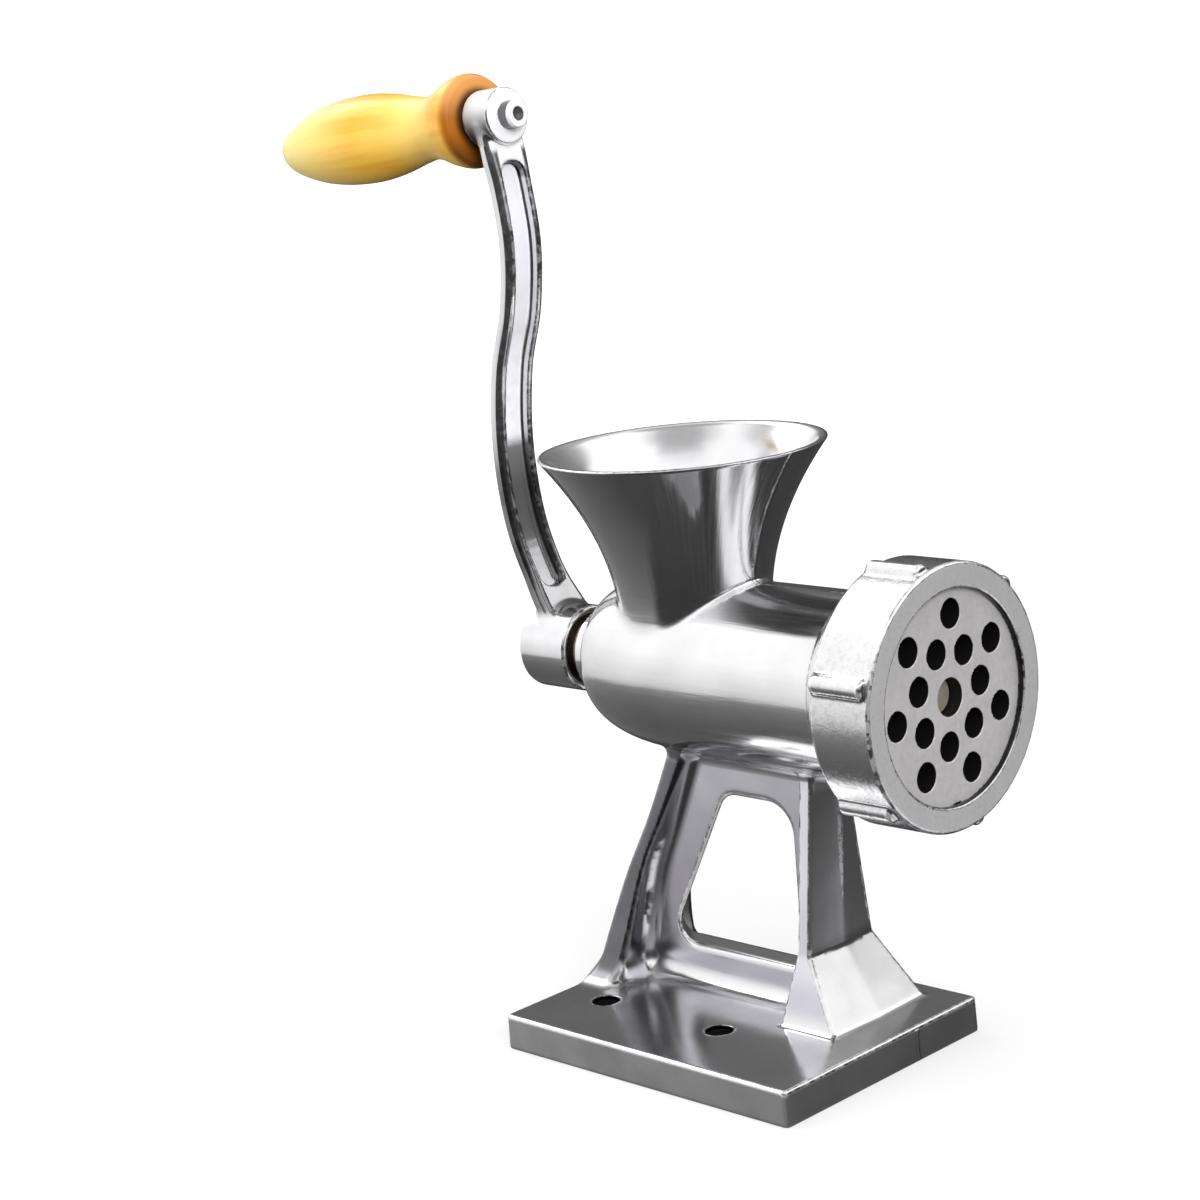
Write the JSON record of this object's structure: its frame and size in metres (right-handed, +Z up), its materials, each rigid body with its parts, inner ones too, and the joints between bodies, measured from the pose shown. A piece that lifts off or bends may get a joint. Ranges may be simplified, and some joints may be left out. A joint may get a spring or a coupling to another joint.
{
  "type": "manual meat grinder",
  "caption": "Bolt-down hand meat grinder: polished cast body with round hopper, screwed ring with hole plate, and an S-curved crank with a turned wooden grip.",
  "frame": {"origin": "point of the base's underside straight below the barrel axis, midway along the base", "axes": "+X along the barrel towards the mouth, +Y across the barrel, +Z up"},
  "size_m": [0.2897, 0.112, 0.3208],
  "materials": {
    "cast_aluminium": "polished casting",
    "ring_aluminium": "satin turned casting",
    "crank_aluminium": "polished casting",
    "screw_aluminium": "plain casting",
    "bush_brass": "plain turned",
    "washer_fibre": "pressed fibre",
    "washer_steel": "zinc plated",
    "shaft_steel": "turned, slightly browned",
    "pin_steel": "ground",
    "knife_steel": "ground",
    "plate_steel": "matte ground",
    "screw_steel": "zinc plated",
    "spindle_steel": "turned, peened end",
    "grip_wood": "varnished turned wood"
  },
  "bodies": {
    "casting": {"body_casting": "cast_aluminium", "rear_bush": "bush_brass", "fibre_washer": "washer_fibre", "plate_key": "pin_steel"},
    "crank": {"crank_arm": "crank_aluminium", "crank_washer": "washer_steel", "crank_screw": "screw_steel", "drive_shank": "shaft_steel", "shank_pin": "pin_steel", "thrust_washer": "washer_steel", "feed_screw": "screw_aluminium", "knife_stud": "shaft_steel", "cutter_knife": "knife_steel", "handle_spindle": "spindle_steel", "handle_thrust_washer": "washer_steel", "handle_end_washer": "washer_steel"},
    "grip": {"handle_grip": "grip_wood"},
    "plate": {"grinding_plate": "plate_steel"},
    "ring": {"ring_nut": "ring_aluminium"}
  },
  "joints": [
    {"name": "crank_turn", "type": "hinge", "parent": "casting", "child": "crank", "pos_m": [-0.08, 0, 0.1235], "axis": [1, 0, 0], "continuous": true},
    {"name": "grip_spin", "type": "hinge", "parent": "crank", "child": "grip", "pos_m": [-0.0928, 0, 0.3056], "axis": [0.9969, 0, 0.0785], "continuous": true},
    {"name": "plate_slide", "type": "slide", "parent": "casting", "child": "plate", "axis": [1, 0, 0], "range_m": [0, 0.01]},
    {"name": "ring_turn", "type": "hinge", "parent": "plate", "child": "ring", "pos_m": [0.075, 0, 0.1235], "axis": [1, 0, 0], "range_deg": [0, 1200]}
  ],
  "couplings": [
    {"joint": "plate_slide", "follows": "ring_turn", "m_per_rad": 0.00047746}
  ]
}
